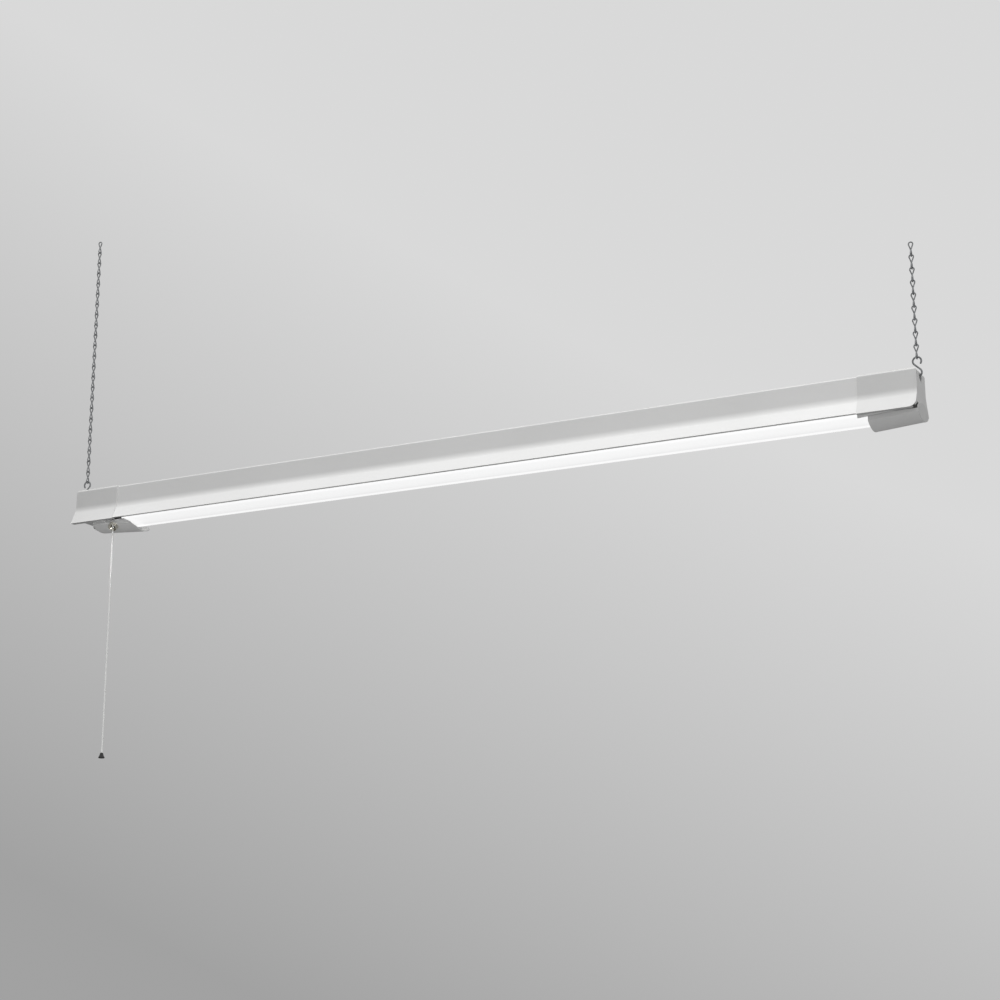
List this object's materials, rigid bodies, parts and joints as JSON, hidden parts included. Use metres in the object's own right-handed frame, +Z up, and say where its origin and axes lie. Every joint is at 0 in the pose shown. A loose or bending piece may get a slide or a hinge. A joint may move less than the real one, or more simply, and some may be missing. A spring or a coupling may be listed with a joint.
{
  "type": "led office pendant light",
  "caption": "Slim linear pendant light with flared housing, bowed diffuser, end caps, two hanging chains on S-hooks and a pull-cord switch.",
  "frame": {"origin": "midway between the two chain eyes that the lamp hangs from", "axes": "+X along the lamp from the switch end to the other end, -Y towards its front, +Z up"},
  "size_m": [1.2254, 0.0576, 0.7714],
  "materials": {
    "white_paint": "smooth white powder coat",
    "cap_plastic": "moulded, satin",
    "cover_plastic": "moulded, matt",
    "opal_lens": "opal diffuser, glossy outside",
    "steel_bracket": "pressed and zinc plated",
    "zinc_wire": "zinc-plated wire",
    "nickel": "nickel plated",
    "board_white": "white solder mask",
    "led_yellow": "phosphor",
    "black_plastic": "moulded",
    "circuit_green": "green solder mask",
    "winding_tape": "yellow winding tape",
    "white_plastic": "moulded",
    "wire_black": "wire insulation",
    "wire_red": "wire insulation",
    "wire_white": "wire insulation",
    "green_screw": "green dyed",
    "spring_steel": "spring wire",
    "white_cord": "braided cotton"
  },
  "bodies": {
    "top_links": {"top_link_left": "zinc_wire", "top_link_right": "zinc_wire"},
    "chains": {"chain_left": "zinc_wire", "chain_right": "zinc_wire"},
    "hooks": {"s_hook_left": "zinc_wire", "s_hook_right": "zinc_wire"},
    "lamp": {"housing": "white_paint", "end_cap_left": "cap_plastic", "end_cap_right": "cap_plastic", "hanger_bracket_left": "steel_bracket", "hanger_bracket_right": "steel_bracket", "cap_screws": "nickel", "led_tray": "white_paint", "tray_posts": "steel_bracket", "tray_screws": "nickel", "led_board_left": "board_white", "led_board_right": "board_white", "leds": "led_yellow", "lens": "opal_lens", "end_cover_right": "cover_plastic", "switch_cover": "cover_plastic", "switch_washer": "nickel", "switch_bell": "nickel", "switch_nipple": "nickel", "switch_body": "black_plastic", "switch_lid": "black_plastic", "switch_pin": "nickel", "switch_spring": "spring_steel", "switch_contacts": "nickel", "driver_case": "white_paint", "driver_lid": "white_paint", "driver_board": "circuit_green", "driver_transformer": "winding_tape", "driver_capacitors": "black_plastic", "driver_screws": "nickel", "terminal_block": "white_plastic", "terminal_screws": "nickel", "supply_wires": "wire_black", "switch_wires": "wire_red", "led_wires": "wire_white", "ground_screw": "green_screw", "cord_bushing": "black_plastic"},
    "pull": {"cord_bead": "nickel", "pull_cord": "white_cord", "cord_knob": "black_plastic"},
    "drum": {"switch_drum": "white_plastic"}
  },
  "joints": [
    {"name": "chain_swing", "type": "hinge", "parent": "top_links", "child": "chains", "pos_m": [0, 0, -0.01615], "axis": [0.9834, 0, -0.1816], "range_deg": [-15, 15]},
    {"name": "hook_swing", "type": "hinge", "parent": "chains", "child": "hooks", "pos_m": [0, 0, -0.25615], "axis": [1, 0, 0], "range_deg": [-15, 15]},
    {"name": "lamp_swing", "type": "hinge", "parent": "hooks", "child": "lamp", "pos_m": [0, 0, -0.27785], "axis": [1, 0, 0], "range_deg": [-12, 12]},
    {"name": "cord_pull", "type": "slide", "parent": "lamp", "child": "pull", "axis": [0, 0, -1], "range_m": [0, 0.0055], "stiffness_N_per_m": 600, "springref_m": -0.003},
    {"name": "drum_turn", "type": "hinge", "parent": "lamp", "child": "drum", "pos_m": [-0.541, -0.00635, -0.31643], "axis": [1, 0, 0], "range_deg": [0, 64]}
  ],
  "couplings": [
    {"joint": "drum_turn", "follows": "cord_pull", "rad_per_m": 200}
  ]
}
